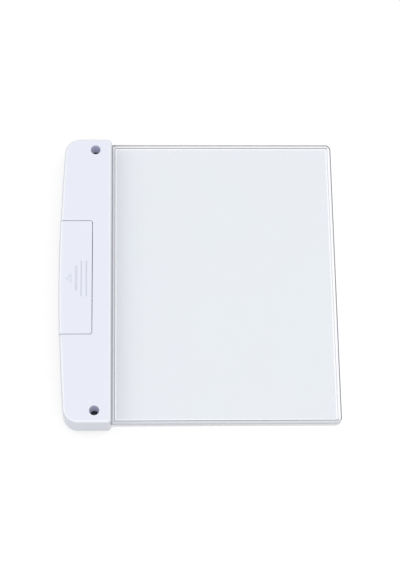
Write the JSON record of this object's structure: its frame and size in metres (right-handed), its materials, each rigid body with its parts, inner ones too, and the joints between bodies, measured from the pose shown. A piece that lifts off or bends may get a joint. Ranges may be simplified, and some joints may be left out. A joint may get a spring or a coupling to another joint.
{
  "type": "book light",
  "caption": "Flat book light: a bowed battery casing holds one edge of a clear acrylic panel that spreads light over a page; sliding battery cover and press switch.",
  "frame": {"origin": "middle of the light's length and width, on the plane of the casing's front face", "axes": "+X from the casing to the panel's free edge, +Y along the casing, +Z out of the back face with the battery cover"},
  "size_m": [0.1636, 0.178, 0.018],
  "materials": {
    "casing_abs": "injection-moulded ABS, smooth satin",
    "clear_acrylic": "polished clear acrylic with a finely etched field",
    "grey_foam": "closed-cell foam strip",
    "board_green": "glass-epoxy board under solder resist",
    "lamp_body": "lamp body with phosphor window",
    "reflector_film": "white reflector film",
    "cell_jacket": "printed jacket on a metal can",
    "nickel_strip": "nickel-plated strip",
    "spring_wire": "nickel-plated spring wire",
    "screw_steel": "dark zinc-plated steel",
    "chip_resin": "moulded epoxy",
    "ferrite": "sintered ferrite",
    "chip_ceramic": "fired ceramic block",
    "switch_nylon": "black moulded nylon",
    "tinned_leg": "tinned leg",
    "button_abs": "grey moulded ABS",
    "lead_red": "red insulated lead",
    "lead_black": "black insulated lead"
  },
  "bodies": {
    "casing": {"front_shell": "casing_abs", "back_shell": "casing_abs", "light_panel": "clear_acrylic", "cell_outer": "cell_jacket", "cell_inner": "cell_jacket", "light_seals": "grey_foam", "led_board": "board_green", "leds": "lamp_body", "reflector_strip": "reflector_film", "casing_screws": "screw_steel", "positive_contact": "nickel_strip", "negative_contact": "nickel_strip", "bridge_contact": "nickel_strip", "spring_negative": "spring_wire", "spring_bridge": "spring_wire", "driver_board": "board_green", "board_screws": "screw_steel", "driver_chip": "chip_resin", "choke": "ferrite", "chip_capacitors": "chip_ceramic", "chip_resistors": "chip_resin", "switch_body": "switch_nylon", "switch_legs": "tinned_leg", "battery_lead_red": "lead_red", "battery_lead_black": "lead_black", "led_lead_red": "lead_red", "led_lead_black": "lead_black"},
    "cover": {"battery_cover": "casing_abs"},
    "button": {"power_button": "button_abs", "switch_plunger": "switch_nylon"}
  },
  "joints": [
    {"name": "cover_slide", "type": "slide", "parent": "casing", "child": "cover", "axis": [-1, 0, 0], "range_m": [0, 0.026]},
    {"name": "button_press", "type": "slide", "parent": "casing", "child": "button", "axis": [0, 0, 1], "range_m": [0, 0.0006], "stiffness_N_per_m": 2000, "springref_m": -0.0002}
  ]
}
